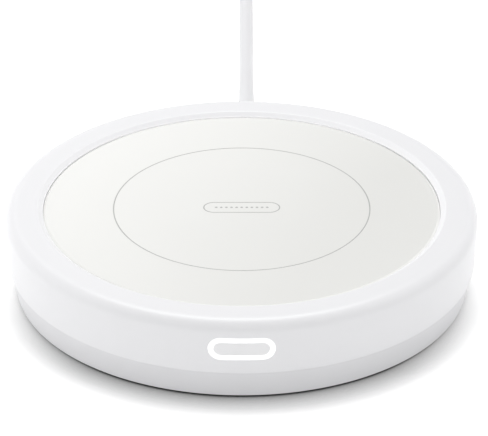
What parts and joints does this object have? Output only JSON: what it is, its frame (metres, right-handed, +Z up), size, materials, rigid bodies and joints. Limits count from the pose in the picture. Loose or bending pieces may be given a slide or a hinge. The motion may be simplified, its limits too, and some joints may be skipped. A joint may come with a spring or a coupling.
{
  "type": "mug warmer",
  "caption": "Round low desk warmer with a recessed flat glass plate, a tapered lower band, a pill-shaped front button inside a lit ring, and a cord with a low-voltage plug.",
  "frame": {"origin": "centre of the round body, on the surface it stands on", "axes": "+Z up, out of the plate; -Y towards the user, where the button is; the cord leaves along +Y"},
  "size_m": [0.1228, 0.3065, 0.0224],
  "materials": {
    "shell_white": "satin white moulded plastic",
    "band_grey": "pale grey-white moulded plastic, fine satin",
    "warm_glass": "opaque warm white glass, polished, with a thin grey printed ring",
    "lit_diffuser": "frosted white light guide, lit white",
    "key_white": "satin white moulded plastic",
    "clear_silicone": "translucent silicone",
    "spreader_aluminium": "rolled aluminium sheet",
    "amber_film": "amber heater film",
    "etched_foil": "etched alloy foil",
    "white_felt": "white insulating felt",
    "pressed_steel": "zinc-plated pressed steel",
    "screw_steel": "plated screw steel",
    "green_board": "green circuit board",
    "black_resin": "black moulded resin",
    "cream_nylon": "cream nylon",
    "can_aluminium": "bare aluminium can",
    "pale_rubber": "pale grey rubber",
    "red_wire": "red insulation",
    "black_wire": "black insulation",
    "white_wire": "white insulation",
    "cord_white": "white cord jacket, satin",
    "plated_steel": "nickel-plated steel"
  },
  "bodies": {
    "warmer": {"top_housing": "shell_white", "base_cover": "band_grey", "glass_plate": "warm_glass", "plate_gasket": "clear_silicone", "heat_spreader": "spreader_aluminium", "heater_film": "amber_film", "heater_track": "etched_foil", "insulation_pad": "white_felt", "heater_retainer": "pressed_steel", "thermistor": "black_resin", "thermal_fuse": "plated_steel", "fuse_clip": "pressed_steel", "retainer_screw_1": "screw_steel", "retainer_screw_2": "screw_steel", "retainer_screw_3": "screw_steel", "main_board": "green_board", "controller_chip": "black_resin", "power_transistor": "black_resin", "filter_capacitor": "can_aluminium", "heater_connector": "cream_nylon", "power_connector": "cream_nylon", "board_screw_1": "screw_steel", "board_screw_2": "screw_steel", "switch_board": "green_board", "switch_body": "black_resin", "light_guide": "lit_diffuser", "indicator_led_1": "lit_diffuser", "indicator_led_2": "lit_diffuser", "switch_ribbon": "white_wire", "heater_lead": "white_wire", "fuse_lead_out": "white_wire", "fuse_lead_in": "white_wire", "power_lead_1": "red_wire", "power_lead_2": "black_wire", "sensor_lead": "black_wire", "cord_tail": "cord_white", "cord_clamp": "cream_nylon", "clamp_screw_1": "screw_steel", "clamp_screw_2": "screw_steel", "strain_relief": "cord_white", "housing_screw_1": "screw_steel", "housing_screw_2": "screw_steel", "housing_screw_3": "screw_steel", "housing_screw_4": "screw_steel", "foot_1": "pale_rubber", "foot_2": "pale_rubber", "foot_3": "pale_rubber", "foot_4": "pale_rubber", "cord_lead": "cord_white", "cord_coil": "cord_white", "cord_end": "cord_white", "cord_tie": "pale_rubber", "plug_grip": "cord_white", "plug_shell": "plated_steel", "plug_tongue": "black_resin"},
    "button": {"power_button": "key_white", "switch_plunger": "cream_nylon"}
  },
  "joints": [
    {"name": "button_press", "type": "slide", "parent": "warmer", "child": "button", "axis": [0, 1, 0], "range_m": [0, 0.0005], "stiffness_N_per_m": 3000}
  ]
}
